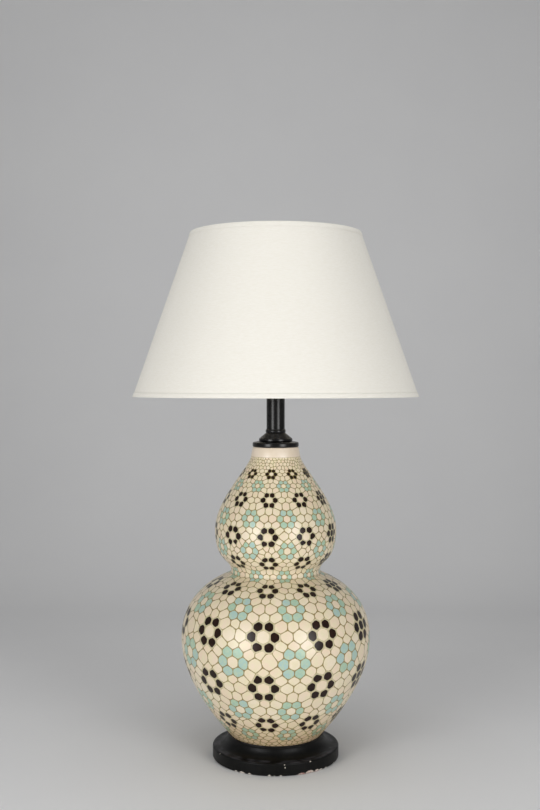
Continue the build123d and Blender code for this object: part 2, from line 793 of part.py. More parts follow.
def ring_at(height):
    """Wire ring glued inside the lining at a height."""
    centre = cone_radius(height, ring_wall_inset + ring_radius)
    return revolved(Pos(centre, height) * Circle(ring_radius))


def trim_at(edge_z, inward):
    """Folded tape round an edge; inward is +1 at the bottom edge and -1 at the top."""
    inner_inset = ring_wall_inset + 2 * ring_radius + ply_gap
    out_z = edge_z + inward * trim_height
    fold_z = edge_z + inward * trim_thickness
    in_z = edge_z + inward * trim_inner_height
    outline = outline_of(
        (cone_radius(out_z, 0), out_z), (cone_radius(edge_z, 0), edge_z),
        (cone_radius(edge_z, inner_inset + trim_thickness), edge_z),
        (cone_radius(in_z, inner_inset + trim_thickness), in_z),
        (cone_radius(in_z, inner_inset), in_z), (cone_radius(fold_z, inner_inset), fold_z),
        (cone_radius(fold_z, trim_thickness), fold_z),
        (cone_radius(out_z, trim_thickness), out_z))
    outline = rounded(outline, trim_thickness * 0.9, (cone_radius(edge_z, 0), edge_z),
                      (cone_radius(edge_z, inner_inset + trim_thickness), edge_z))
    return revolved(outline)


def spider_arm(number, radius):
    """One arm: level beside the hub, up the drop, then level out to the top ring's axis."""
    hub_mid = spider_z + spider_hub_thickness / 2
    ring_centre = cone_radius(top_ring_z, ring_wall_inset + ring_radius)
    foot = spider_hub_radius + spider_foot_run
    head = foot + spider_rise_run
    arm = bent_wire([(spider_hub_radius, hub_mid), (foot, hub_mid), (head, top_ring_z),
                     (ring_centre, top_ring_z)], spider_bend, radius)
    return Rot(0, 0, spider_first_arm + 360 / spider_arm_count * number) * arm


def make_spider_hub():
    """Washer that sits on the harp's flange."""
    hub = tube(spider_hub_radius + spider_arm_radius, stud_radius + 2 * slip, spider_z,
               spider_top_z)
    for number in range(spider_arm_count):
        hub -= spider_arm(number, spider_arm_radius)
    return hub


def make_spider_arm(number):
    """Arm with its outer end coped to the top ring's wire."""
    return spider_arm(number, spider_arm_radius) - ring_at(top_ring_z)


def make_top_trim():
    """Tape round the top edge, slit where the arms pass."""
    trim = trim_at(shade_top_z, -1)
    for number in range(spider_arm_count):
        trim -= spider_arm(number, spider_arm_radius + slip)
    return trim


# ================================================================ finial
def make_finial_base():
    """Tapped collar of the finial, screwed down on the hub."""
    outline = outline_of(
        (stud_radius + 2 * slip, finial_z), (finial_base_radius, finial_z),
        (finial_base_radius, finial_z + finial_base_height / 3),
        (finial_waist_radius + stud_radius / 3, finial_z + finial_base_height),
        (stud_radius + 2 * slip, finial_z + finial_base_height))
    outline = rounded(outline, stud_radius / 3, (finial_base_radius, finial_z),
                      (finial_base_radius, finial_z + finial_base_height / 3))
    return revolved(outline)


def make_finial_knob():
    """Ball on a short waist, on top of the tapped collar."""
    low = finial_z + finial_base_height
    stud_top = flange_top_z + stud_height
    well = stud_radius + 2 * slip
    ball_z = finial_top_z - finial_ball_radius
    shoulder_z = ball_z - math.sqrt(finial_ball_radius ** 2 - finial_waist_radius ** 2)
    outline = make_face([
        Line((0, stud_top + rest_gap), (well, stud_top + rest_gap)),
        Line((well, stud_top + rest_gap), (well, low)),
        Line((well, low), (finial_waist_radius + stud_radius / 3, low)),
        Line((finial_waist_radius + stud_radius / 3, low), (finial_waist_radius, shoulder_z)),
        ThreePointArc((finial_waist_radius, shoulder_z), (finial_ball_radius, ball_z),
                      (0, finial_top_z)),
        Line((0, finial_top_z), (0, stud_top + rest_gap)),
    ])
    return revolved(outline)


# ================================================================ all pieces
PIECES = {
    "felt_pad": make_felt_pad(),
    "base_plinth": make_plinth(),
    "cord_bushing": make_cord_bushing(),
    "base_washer": make_washer(),
    "lock_nut": make_lock_nut(),
    "threaded_pipe": make_threaded_pipe(),
    "gourd_body": make_gourd_body(),
    "vase_cap": make_vase_cap(),
    "neck_flare": make_neck_flare(),
    "neck_bead": make_neck_bead(),
    "neck_tube": make_neck_tube(),
    "check_ring": make_check_ring(),
    "harp_saddle": make_harp_saddle(),
    "socket_cap": make_socket_cap(),
    "set_screw": make_set_screw(),
    "socket_shell": make_socket_shell(),
    "socket_liner": make_socket_liner(),
    "socket_core": make_socket_core(),
    "terminal_screws": make_terminal_screws(),
    "screw_shell": make_screw_shell(),
    "centre_contact": make_centre_contact(),
    "switch_spindle": make_switch_spindle(),
    "turn_knob": make_turn_knob(),
    "bulb_glass": make_bulb_glass(),
    "bulb_screw_base": make_bulb_screw_base(),
    "bulb_insulator": make_bulb_insulator(),
    "bulb_contact": make_bulb_contact(),
    "harp_wire": make_harp_wire(),
    "harp_stud": make_harp_stud(),
    "sleeve_left": make_sleeve(-1),
    "sleeve_right": make_sleeve(1),
    "spider_hub": make_spider_hub(),
    "shade_top_ring": ring_at(top_ring_z),
    "shade_bottom_ring": ring_at(bottom_ring_z),
    "shade_cover": make_shade_cover(),
    "shade_lining": make_shade_lining(),
    "top_trim": make_top_trim(),
    "bottom_trim": trim_at(shade_z, 1),
    "finial_base": make_finial_base(),
    "finial_knob": make_finial_knob(),
}
for number in range(spider_arm_count):
    PIECES[f"spider_arm_{number + 1}"] = make_spider_arm(number)

os.makedirs("parts", exist_ok=True)
for name, piece in PIECES.items():
    export_step(piece, f"parts/{name}.step")
print(f"{len(PIECES)} nodes; {2 * shade_bottom_radius:.1f} mm wide, {finial_top_z:.1f} mm high")
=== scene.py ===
# %% [markdown]
# # A double gourd table lamp
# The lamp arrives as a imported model: every rigid piece is already at its real size and place, and
# nothing here moves it. This lesson gives the pieces their finish. The painted gourd, the shade's
# cloth and the felt are new meshes that lie where the plain solids are. Everything is in metres,
# +Z is up, the front is towards -Y.

# %% Load the lamp
import bpy
import math
import random
import numpy as np
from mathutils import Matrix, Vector


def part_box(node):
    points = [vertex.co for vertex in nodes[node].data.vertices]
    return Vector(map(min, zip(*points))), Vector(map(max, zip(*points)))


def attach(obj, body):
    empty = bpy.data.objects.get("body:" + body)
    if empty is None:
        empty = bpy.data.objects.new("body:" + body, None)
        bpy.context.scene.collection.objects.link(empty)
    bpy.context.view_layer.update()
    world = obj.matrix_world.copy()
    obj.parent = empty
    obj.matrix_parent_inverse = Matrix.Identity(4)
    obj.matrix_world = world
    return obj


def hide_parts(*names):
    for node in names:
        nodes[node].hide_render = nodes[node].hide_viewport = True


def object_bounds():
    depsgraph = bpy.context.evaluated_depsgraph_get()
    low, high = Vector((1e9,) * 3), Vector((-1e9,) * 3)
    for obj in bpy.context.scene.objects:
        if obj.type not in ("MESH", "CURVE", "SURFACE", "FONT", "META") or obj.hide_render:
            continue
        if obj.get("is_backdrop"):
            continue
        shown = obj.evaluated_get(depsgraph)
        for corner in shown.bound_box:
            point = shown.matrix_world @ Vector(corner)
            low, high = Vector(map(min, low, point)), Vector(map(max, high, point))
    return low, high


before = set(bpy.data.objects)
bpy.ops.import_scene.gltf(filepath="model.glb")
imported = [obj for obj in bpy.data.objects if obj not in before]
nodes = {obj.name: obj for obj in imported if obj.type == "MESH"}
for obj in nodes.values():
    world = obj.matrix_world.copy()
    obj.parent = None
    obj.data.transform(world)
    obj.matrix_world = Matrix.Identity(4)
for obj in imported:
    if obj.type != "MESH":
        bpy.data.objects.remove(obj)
cad_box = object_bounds()
mm = 0.001
print(len(nodes), "pieces, from", *([round(x, 4) for x in corner] for corner in cad_box))

# %% [markdown]
# ## The camera
# The picture was taken from about the height of the shade's lower edge, with the camera tipped down
# by a degree. Its focal length is written in pixels of the picture, because that is what can be
# measured there, and then turned into a lens for Blender's sensor.

# %% Place the camera
focal_px = 1080.0
picture_height_px = 810.0
camera_place = (-0.0076, -1.445, 0.498)
camera_tilt = math.radians(1.098)

camera_data = bpy.data.cameras.new("camera")
camera_data.sensor_width = 36.0
camera_data.lens = camera_data.sensor_width * focal_px / picture_height_px
camera = bpy.data.objects.new("camera", camera_data)
camera.location = camera_place
camera.rotation_euler = (math.pi / 2 - camera_tilt, 0, 0)
bpy.context.scene.collection.objects.link(camera)
bpy.context.scene.camera = camera
print("lens", round(camera_data.lens, 1), "mm")

# %% [markdown]
# ## Helpers for finishes
# A finish is a small tree of nodes. One helper adds a node and fills its sockets, whether with a
# number or with a wire from another node, so each finish below reads as a short recipe. Colours are
# written as they look on a screen and turned into light with the usual curve.


# %% Helpers for finishes
def light_of(shade_hex):
    """The linear colour of a colour written as on a screen."""
    parts = [int(shade_hex[i:i + 2], 16) / 255 for i in (0, 2, 4)]
    linear = [x / 12.92 if x <= 0.04045 else ((x + 0.055) / 1.055) ** 2.4 for x in parts]
    return (*linear, 1.0)


def add(tree, kind, sockets=None, **settings):
    """A node with its settings and its sockets filled: a number, a colour, or a wire."""
    made = tree.nodes.new("ShaderNode" + kind)
    for name, value in settings.items():
        setattr(made, name, value)
    for name, value in (sockets or {}).items():
        if isinstance(value, bpy.types.NodeSocket):
            tree.links.new(value, made.inputs[name])
        else:
            made.inputs[name].default_value = value
    return made


def arithmetic(tree, operation, *values):
    """One sum of up to three values."""
    return add(tree, "Math", dict(enumerate(values)), operation=operation).outputs[0]


def between(tree, share, first, second):
    """A colour between two others."""
    made = add(tree, "Mix", {0: share, 6: first, 7: second}, data_type="RGBA")
    return made.outputs[2]


def ramp(tree, value, low, high, to_low=0.0, to_high=1.0):
    """The value's place between low and high, kept from 0 to 1 unless told otherwise."""
    made = add(tree, "MapRange", {"Value": value, "From Min": low, "From Max": high,
                                  "To Min": to_low, "To Max": to_high})
    return made.outputs[0]


def place(tree, scale=(1, 1, 1)):
    """The point on the piece in metres, which turns and lifts with it."""
    where = add(tree, "TexCoord").outputs["Object"]
    return add(tree, "Mapping", {"Vector": where, "Scale": scale}).outputs[0]


def speckle(tree, where, size, detail=3.0, rough=0.5):
    """Soft noise whose blotches have about this size, in metres."""
    made = add(tree, "TexNoise", {"Vector": where, "Scale": 1 / size, "Detail": detail,
                                  "Roughness": rough})
    return made.outputs["Fac"]


def relief(tree, height, depth):
    """Bump of this depth in metres from a height between 0 and 1."""
    return add(tree, "Bump", {"Height": height, "Distance": depth, "Strength": 1.0}).outputs[0]


def finish_named(name, **sockets):
    """A new finish, its tree and its shader, with what is the same all over set on the shader."""
    made = bpy.data.materials.new(name)
    made.use_nodes = True
    shader = made.node_tree.nodes["Principled BSDF"]
    for socket, value in sockets.items():
        shader.inputs[socket.replace("_", " ")].default_value = value
    return made, made.node_tree, shader


def wire(tree, shader, **sources):
    """Wires run into the shader's sockets."""
    for socket, source in sources.items():
        tree.links.new(source, shader.inputs[socket.replace("_", " ")])


def dress(finish, *names):
    """Gives the finish to pieces that keep their shape."""
    for name in names:
        mesh = nodes[name].data
        mesh.materials.clear()
        mesh.materials.append(finish)


def new_piece(name, points, faces):
    """A smooth mesh piece from points in metres and faces as lists of point numbers."""
    mesh = bpy.data.meshes.new(name)
    mesh.from_pydata([tuple(p) for p in points], [], faces)
    mesh.update()
    mesh.shade_smooth()
    made = bpy.data.objects.new(name, mesh)
    bpy.context.scene.collection.objects.link(made)
    return made


# %% [markdown]
# ## Floor, backdrop and lamps
# A studio sweep is a floor that curves up into a backdrop, so no line crosses the picture behind the
# lamp. Two upright softboxes stand at the front, left and right, low enough that the glaze shows
# them as soft patches on both bulbs. The world fills in evenly, so colours show as they are written.
# The paper is clear from its far side, so the lamp also shows from behind and from below.

# %% Floor and backdrop
sweep_half_width = 3.0
sweep_front = -2.5
sweep_bend_start = 0.9
sweep_bend_radius = 0.8
sweep_top = 3.0
bend_steps = 24

profile = [(sweep_front, 0.0)]
for step in range(bend_steps + 1):
    turn = math.pi / 2 * step / bend_steps
    profile.append((sweep_bend_start + sweep_bend_radius * math.sin(turn),
                    sweep_bend_radius * (1 - math.cos(turn))))
profile.append((sweep_bend_start + sweep_bend_radius, sweep_top))
points = [(side * sweep_half_width, y, z) for y, z in profile for side in (-1, 1)]
faces = [(2 * i, 2 * i + 1, 2 * i + 3, 2 * i + 2) for i in range(len(profile) - 1)]
sweep = new_piece("studio_sweep", points, faces)
sweep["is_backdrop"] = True

paper, tree, shader = finish_named("studio_paper", Roughness=0.85)
mottle = speckle(tree, place(tree), 0.25)
wire(tree, shader, Base_Color=between(tree, mottle, light_of("e4e4e5"), light_of("eaeaea")))
far_side = add(tree, "NewGeometry").outputs["Backfacing"]
clear = add(tree, "BsdfTransparent").outputs[0]
either = add(tree, "MixShader", {0: far_side, 1: shader.outputs[0], 2: clear}).outputs[0]
tree.links.new(either, tree.nodes["Material Output"].inputs["Surface"])
sweep.data.materials.append(paper)

# %% Softboxes and fill
fill_strength = 0.22

world = bpy.data.worlds.new("studio")
bpy.context.scene.world = world
world.use_nodes = True
fill = world.node_tree.nodes["Background"].inputs
fill["Color"].default_value = (1.0, 1.0, 1.0, 1.0)
fill["Strength"].default_value = fill_strength


def softbox(name, azimuth, distance, height, wide, tall, power, aim_height):
    """A lit panel at an azimuth from the front, positive to the right, facing the lamp."""
    turn = math.radians(azimuth)
    data = bpy.data.lights.new(name, "AREA")
    data.shape = "RECTANGLE"
    data.size = wide
    data.size_y = tall
    data.energy = power
    made = bpy.data.objects.new(name, data)
    made.location = (distance * math.sin(turn), -distance * math.cos(turn), height)
    aim = Vector((0, 0, aim_height)) - made.location
    made.rotation_euler = aim.to_track_quat("-Z", "Y").to_euler()
    bpy.context.scene.collection.objects.link(made)


# azimuth in degrees, distance, height, width and tallness in metres, watts, and the height aimed at
softbox("left_softbox", -39, 1.55, 0.42, 0.6, 0.95, 11.1, 0.35)
softbox("right_softbox", 35, 1.55, 0.42, 0.6, 0.95, 10.4, 0.35)
softbox("top_softbox", 0, 0.35, 2.1, 1.3, 1.3, 9.0, 0.3)
bpy.context.scene.view_settings.view_transform = "Standard"

# %% [markdown]
# ## The gourd's skin
# The gourd is cream glaze painted like a mosaic: black and aqua flowers of six petals among plain
# cells, with olive lines between. A picture wrapped round it would blur, so the cells are made as
# faces. First the gourd's side is drawn with the same four curves as the solid. Then the side is
# unrolled onto a flat map that keeps angles, where a round flower stays round wherever it is laid.

# %% The gourd's side
gourd_low, gourd_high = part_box("gourd_body")
foot_rise = 1.2 * mm
mouth_rise = 12.6 * mm
foot_z = gourd_low.z + foot_rise
neck_z = gourd_high.z - mouth_rise
foot_radius, foot_slope, foot_reach = 60.4 * mm, math.radians(47.6), 0.28
low_radius, low_rise, low_below, low_above = gourd_high.x, 128.7 * mm, 0.378, 0.81
waist_radius, waist_rise, waist_below, waist_above = 59.4 * mm, 89.2 * mm, 0.06, 0.329
high_radius, high_rise, high_below, high_above = 81.2 * mm, 56.0 * mm, 0.805, 0.399
neck_radius, neck_slope, neck_reach = 33.0 * mm, math.radians(84.8), 0.14
mouth_radius = 30.7 * mm
wall = 5.5 * mm
steps_per_curve = 300

low_z = foot_z + low_rise
waist_z = low_z + waist_rise
high_z = waist_z + high_rise


def curve_through(a, b, c, d, steps):
    """Points of radius and height along one curve of four handles, and its direction there."""
    t = np.linspace(0, 1, steps + 1)[:, None]
    a, b, c, d = (np.array(x) for x in (a, b, c, d))
    along = a * (1 - t) ** 3 + 3 * b * t * (1 - t) ** 2 + 3 * c * t ** 2 * (1 - t) + d * t ** 3
    way = 3 * ((b - a) * (1 - t) ** 2 + 2 * (c - b) * t * (1 - t) + (d - c) * t ** 2)
    return along, way / np.linalg.norm(way, axis=1)[:, None]


def gourd_side(inset):
    """The side from foot to neck, moved into the wall by the inset."""
    foot = (foot_radius - inset * math.sin(foot_slope), foot_z + inset * math.cos(foot_slope))
    low, waist = (low_radius - inset, low_z), (waist_radius - inset, waist_z)
    high = (high_radius - inset, high_z)
    neck = (neck_radius - inset * math.sin(neck_slope), neck_z - inset * math.cos(neck_slope))
    rises = [low[1] - foot[1], waist[1] - low[1], high[1] - waist[1], neck[1] - high[1]]
    foot_handle, neck_handle = foot_reach * rises[0], neck_reach * rises[3]
    handles = [
        (foot,
         (foot[0] + foot_handle * math.cos(foot_slope), foot[1] + foot_handle * math.sin(foot_slope)),
         (low[0], low[1] - low_below * rises[0]), low),
        (low, (low[0], low[1] + low_above * rises[1]),
         (waist[0], waist[1] - waist_below * rises[1]), waist),
        (waist, (waist[0], waist[1] + waist_above * rises[2]),
         (high[0], high[1] - high_below * rises[2]), high),
        (high, (high[0], high[1] + high_above * rises[3]),
         (neck[0] + neck_handle * math.cos(neck_slope), neck[1] - neck_handle * math.sin(neck_slope)),
         neck),
    ]
    parts = [curve_through(*h, steps_per_curve) for h in handles]
    side = np.vstack([p[0][:-1] for p in parts] + [parts[-1][0][-1:]])
    ways = np.vstack([p[1][:-1] for p in parts] + [parts[-1][1][-1:]])
    return side, ways


side, ways = gourd_side(0.0)
step_length = np.linalg.norm(np.diff(side, axis=0), axis=1)
middle_radius = (side[1:, 0] + side[:-1, 0]) / 2
cells_round = 50
pitch = 2 * math.pi / cells_round
up_map = np.concatenate([[0.0], np.cumsum(step_length / middle_radius)]) / pitch
map_top = up_map[-1]
print("side", round(float(step_length.sum() * 1000)), "mm long,", round(float(map_top), 1), "cells tall")


def on_side(up):
    """Radius, height and outward direction at a height on the flat map, which counts in cells."""
    radius = np.interp(up, up_map, side[:, 0])
    height = np.interp(up, up_map, side[:, 1])
    rise = np.interp(up, up_map, ways[:, 1])
    lean = np.interp(up, up_map, ways[:, 0])
    return radius, height, (rise, -lean)


def on_gourd(x, up):
    """The point in space, and the outward direction, of a point on the flat map."""
    radius, height, (out, rise) = on_side(up)
    turn = x * pitch
    across, ahead = math.sin(turn), -math.cos(turn)
    return (radius * across, radius * ahead, height), (out * across, out * ahead, rise)


# %% [markdown]
# ## Where the cells go
# The cells are like a honeycomb: rows of fifty, each row set off by half a cell. Every third row
# holds ten flowers, aqua in one such row and black in the next, and a flower is a cell with its six
# neighbours. Flowers are drawn in a little, to the size the painter gave them. No two cells are quite
# alike, so every middle is then nudged at random, the plain ones most.

# %% Middles of the cells
flower_heights = (50.0, 66.8, 88.5, 121.6, 153.5, 186.6, 217.3, 236.0,
                  249.6, 267.8, 285.8, 303.4, 326.8, 349.6, 366.6, 381.2)   # mm
rows_between = 3
rows_below = 4
rows_above = 5
cells_per_flower = 5
first_flower_turn = 10.5 / 7.2      # cells to the right of the front
petal_places = {"black": (0.97, 0.44, 0.845), "aqua": (0.87, 0.43, 0.77)}     # side, half side, up
plain_nudge = 0.27                  # in cells, as are the rest
flower_nudge = 0.035
top_nudge = 0.3
nudge_up_share = 0.85
lowest_middle = 0.12
highest_middle = 0.35               # below the top of the map

flower_rows = [float(np.interp(h * mm, side[:, 1], up_map)) for h in flower_heights]
last_row = rows_below + rows_between * (len(flower_rows) - 1) + rows_above
known = [0, *range(rows_below, last_row - rows_above + 1, rows_between), last_row]
known_up = [lowest_middle, *flower_rows, map_top - highest_middle]
row_up = np.interp(range(last_row + 1), known, known_up)
draw = random.Random(23)


def flower_near(row, x):
    """The nearest flower: its row's number, and how far this cell lies from it, in cells."""
    order = min(max(round((row - rows_below) / rows_between), 0), len(flower_rows) - 1)
    middle = first_flower_turn + (cells_per_flower / 2 if order % 2 else 0.0)
    away = (x - middle + cells_per_flower / 2) % cells_per_flower - cells_per_flower / 2
    return order, away


def cell_middle(row, column):
    """Place on the flat map and paint of one cell."""
    x = first_flower_turn + column + (0.5 if (row - rows_below) % 2 else 0.0)
    order, away = flower_near(row, x)
    above = row - (rows_below + rows_between * order)
    up, paint, nudge, in_flower = row_up[row], "cream", plain_nudge, False
    if row > last_row - rows_above + 1:
        nudge = top_nudge
    if abs(above) <= 1 and abs(away) < 1.2 - 0.5 * abs(above):
        petals = "black" if order % 2 else "aqua"
        beside, half_beside, petal_up = petal_places[petals]
        nudge, in_flower = flower_nudge, True
        up = flower_rows[order] + petal_up * above
        x += away * ((half_beside / 0.5 if above else beside) - 1)
        if above or away:
            paint = petals
    x += draw.uniform(-nudge, nudge)
    return x, up + draw.uniform(-nudge, nudge) * nudge_up_share, paint, in_flower


middles = {}
for row in range(last_row + 1):
    for column in range(cells_round):
        middles[row, column] = cell_middle(row, column)
print(len(middles), "cells,", sum(m[2] == "black" for m in middles.values()), "black petals")

# %% [markdown]
# ## From middles to cells
# Each cell is the ground that lies nearer to its middle than to any other. It is cut out by starting
# with a square and slicing it at the line half way to each neighbour. Every corner belongs to three
# cells, so it is known by the three, and all use the same point: the skin has no cracks.
# Plain cells then settle, as a painter fits them in between the flowers: each middle moves to the
# middle of its outline, twice. Last, each pulls its edges up to the petals beside it, so that all
# petals end at the same reach.

# %% Cut out the cells
settling_rounds = 2
settling_rows = range(1, last_row - rows_above + 2)
petal_reach = 0.44          # from a petal's middle to the plain cell beside it, in cells
centre_reach = 0.545        # from a flower's middle to its petals, as a share of the way
most_pull = 0.45
rows_searched, columns_searched, neighbours_tried = 3, 4, 22
start_half = 3              # of the square that a cell is cut from
far_off = 9.0               # stands for a petal out of reach


def sliced(outline, labels, normal, reach, label):
    """The part of an outline on the near side of a line; labels name what lies across each edge."""
    kept, kept_labels = [], []
    for i, here in enumerate(outline):
        there = outline[(i + 1) % len(outline)]
        d_here = normal[0] * here[0] + normal[1] * here[1] - reach
        d_there = normal[0] * there[0] + normal[1] * there[1] - reach
        if d_here <= 0:
            kept.append(here)
            kept_labels.append(labels[i])
        if (d_here <= 0) != (d_there <= 0):
            share = d_here / (d_here - d_there)
            cut = (here[0] + share * (there[0] - here[0]), here[1] + share * (there[1] - here[1]))
            kept.append(cut)
            kept_labels.append(label if d_here <= 0 else labels[i])
    return kept, kept_labels


def cell_outline(cell):
    """Corners of a cell, and the name of the cell or edge that lies across each side."""
    row, column = cell
    x, up = middles[cell][:2]
    outline = [(x + start_half * a, up + start_half * b) for a, b in ((-1, -1), (1, -1), (1, 1), (-1, 1))]
    labels = ["far"] * 4
    outline, labels = sliced(outline, labels, (0, -1), 0.0, "foot")
    outline, labels = sliced(outline, labels, (0, 1), map_top, "neck")
    near = []
    for other_row in range(max(0, row - rows_searched), min(last_row, row + rows_searched) + 1):
        for step in range(-columns_searched, columns_searched + 1):
            other = (other_row, (column + step) % cells_round)
            if other == cell:
                continue
            ox, oup = middles[other][:2]
            ox += cells_round * round((x - ox) / cells_round)
            near.append((math.hypot(ox - x, oup - up), ox, oup, other))
    for distance, ox, oup, other in sorted(near)[:neighbours_tried]:
        normal = ((ox - x) / distance, (oup - up) / distance)
        reach = normal[0] * (x + ox) / 2 + normal[1] * (up + oup) / 2
        reach += (pulls[cell] - pulls[other]) / (2 * distance)
        outline, labels = sliced(outline, labels, normal, reach, other)
    return outline, labels


def distance_to_petals(cell):
    """How far a cell's middle lies from the nearest petal's."""
    row, column = cell
    x, up = middles[cell][:2]
    found = []
    for other_row in range(max(0, row - 2), min(last_row, row + 2) + 1):
        for step in range(-2, 3):
            ox, oup, paint, _ = middles[other_row, (column + step) % cells_round]
            if paint != "cream":
                across = (ox - x + cells_round / 2) % cells_round - cells_round / 2
                found.append(math.hypot(across, oup - up))
    return min(found, default=far_off)


pulls = dict.fromkeys(middles, 0.0)
loose = [cell for cell, middle in middles.items()
         if not middle[3] and cell[0] in settling_rows]
for _ in range(settling_rounds):
    for cell in loose:
        corners = cell_outline(cell)[0]
        x, up = (sum(c[i] for c in corners) / len(corners) for i in (0, 1))
        middles[cell] = (x, up, *middles[cell][2:])
for cell, middle in middles.items():
    if middle[2] == "cream":
        distance = distance_to_petals(cell)
        reach = centre_reach * distance if middle[3] else distance - petal_reach
        pulls[cell] = min(max(distance * (2 * reach - distance), 0.0), most_pull)

outlines = {cell: cell_outline(cell) for cell in middles}
sides_count = [len(o) for o, _ in outlines.values()]
print("cells have from", min(sides_count), "to", max(sides_count), "sides")

# %% [markdown]
# ## Faces of the painted skin
# Inside each cell lies its paint, a rounded shape a little way in from the cell's edge. The strip left
# between two cells is the olive line. Black petals stand further in, with a pale halo round them, and
# have more points because their edges are the sharpest thing on the lamp. Each face is told its
# finish and carries a number for its cell's own tint.

# %% Lay the cells' faces
paints = ["cream", "black", "aqua", "line", "halo", "collar", "clay"]
line_half = 0.47 * mm
black_inset = 0.09              # in cells, where they are as wide as black_pitch
black_pitch = 15.0 * mm
halo_pitch = 7.0 * mm           # smaller flowers have plain lines, with no halo
thin_pitch = 10.0 * mm          # lines get thinner where the cells are smaller than this
thinning = 0.6
petal_points = 20
hardness_of = {"cream": 10.0, "aqua": 9.0, "black": 13.0}       # the higher, the sharper its corners
least_paint = 0.35              # of the way out to a cell's edge, however small the cell

skin_points, skin_normals = [], []
skin_faces = []                 # three or four (point number, spot on the flat map), paint, tint
shared = {}


def point_at(spot, key=None):
    """A new point on the gourd, or the one already made for this key, with its spot on the map."""
    if key not in shared:
        where, normal = on_gourd(*spot)
        skin_points.append(where)
        skin_normals.append(normal)
        if key is None:
            return len(skin_points) - 1, spot
        shared[key] = len(skin_points) - 1
    return shared[key], spot


def inner_ring(middle, outline, inset, angles, hardness):
    """A rounded shape inside an outline, one spot for each angle about the middle."""
    walls = []
    for a, b in zip(outline, outline[1:] + outline[:1]):
        length = math.hypot(b[0] - a[0], b[1] - a[1])
        if length > 1e-9:
            normal = ((b[1] - a[1]) / length, (a[0] - b[0]) / length)
            reach = normal[0] * (a[0] - middle[0]) + normal[1] * (a[1] - middle[1])
            walls.append((normal, max(reach - inset, least_paint * reach)))
    ring = []
    for angle in angles:
        way = (math.cos(angle), math.sin(angle))
        nearness = [max(n[0] * way[0] + n[1] * way[1], 0.0) / d for n, d in walls]
        reach = sum(c ** hardness for c in nearness) ** (-1 / hardness)
        ring.append((middle[0] + reach * way[0], middle[1] + reach * way[1]))
    return ring


def stitch(outer, inner, outer_angles, inner_angles):
    """Triangles between two rings round one middle, each with the outer side that it lies by."""
    made = []
    i = j = 0
    while i < len(outer) or j < len(inner):
        next_outer = outer_angles[i + 1] if i < len(outer) else math.inf
        next_inner = inner_angles[j + 1] if j < len(inner) else math.inf
        a, b = outer[i % len(outer)], inner[j % len(inner)]
        if next_outer <= next_inner:
            made.append(((a, outer[(i + 1) % len(outer)], b), i))
            i += 1
        else:
            made.append(((a, inner[(j + 1) % len(inner)], b), min(i, len(outer) - 1)))
            j += 1
    return made


def growing(angles):
    """Angles that only grow, with the first one again at the end, a turn later."""
    grown = [angles[0]]
    for angle in angles[1:]:
        while angle < grown[-1]:
            angle += 2 * math.pi
        grown.append(angle)
    return grown + [angles[0] + 2 * math.pi]


def lay_cell(cell):
    """Adds one cell's faces: its paint, and the strip round it."""
    paint = middles[cell][2]
    outline, labels = outlines[cell]
    count = len(outline)
    middle = (sum(p[0] for p in outline) / count, sum(p[1] for p in outline) / count)
    keys = [frozenset((cell, labels[i - 1], labels[i])) for i in range(count)]
    edge = []
    for i, corner in enumerate(outline):
        after = outline[(i + 1) % count]
        half = ((corner[0] + after[0]) / 2, (corner[1] + after[1]) / 2)
        edge.append(point_at(corner, keys[i]))
        edge.append(point_at(half, frozenset((keys[i], keys[(i + 1) % count]))))
        if labels[i] in rims:
            rims[labels[i]] |= {edge[-2][0], edge[-1][0], point_at(after, keys[(i + 1) % count])[0]}
    angles = growing([math.atan2(spot[1] - middle[1], spot[0] - middle[0]) for _, spot in edge])
    cell_size = pitch * on_side(middle[1])[0]
    if paint == "black":
        inset = black_inset * min(1.0, (cell_size / black_pitch) ** thinning)
    else:
        inset = line_half * min(1.0, (cell_size / thin_pitch) ** thinning) / cell_size
    ring_angles = angles[:-1]
    if paint == "black":
        ring_angles = [angles[0] + 2 * math.pi * k / petal_points for k in range(petal_points)]
    ring = [point_at(spot) for spot in
            inner_ring(middle, outline, inset, ring_angles, hardness_of[paint])]
    tint = draw.random()
    for face, i in stitch(edge, ring, angles, ring_angles + [ring_angles[0] + 2 * math.pi]):
        other = middles.get(labels[i // 2], ("", "", "", ""))[2]
        strip = "halo" if "black" in (paint, other) and cell_size > halo_pitch else "line"
        skin_faces.append((face, strip, tint))
    hub = point_at(middle)
    for a, b in zip(ring, ring[1:] + ring[:1]):
        skin_faces.append(((a, b, hub), paint, tint))


rims = {"foot": set(), "neck": set()}
for cell in middles:
    lay_cell(cell)
print(len(skin_points), "points and", len(skin_faces), "faces in the painted skin")

# %% [markdown]
# ## Close the pot
# Above the pattern the glaze is plain, and the rim turns in to the wall. Inside, the clay is bare.
# These plain parts are turned on a lathe: a ring of points is repeated at each step of an outline.
# The last ring meets the pattern's lowest edge, so the pot is one closed shape, as a fired one is.

# %% Plain collar, rim and inside
mouth_round = 1.2 * mm
rim_steps = 5
inside_every = 24
hole_radius = 6.0 * mm
pattern_share = 0.9             # of the flat map's height; the plain parts take the rest


def turn_of(number):
    """A point's azimuth from the front."""
    x, y, _ = skin_points[number]
    return math.atan2(x, -y)


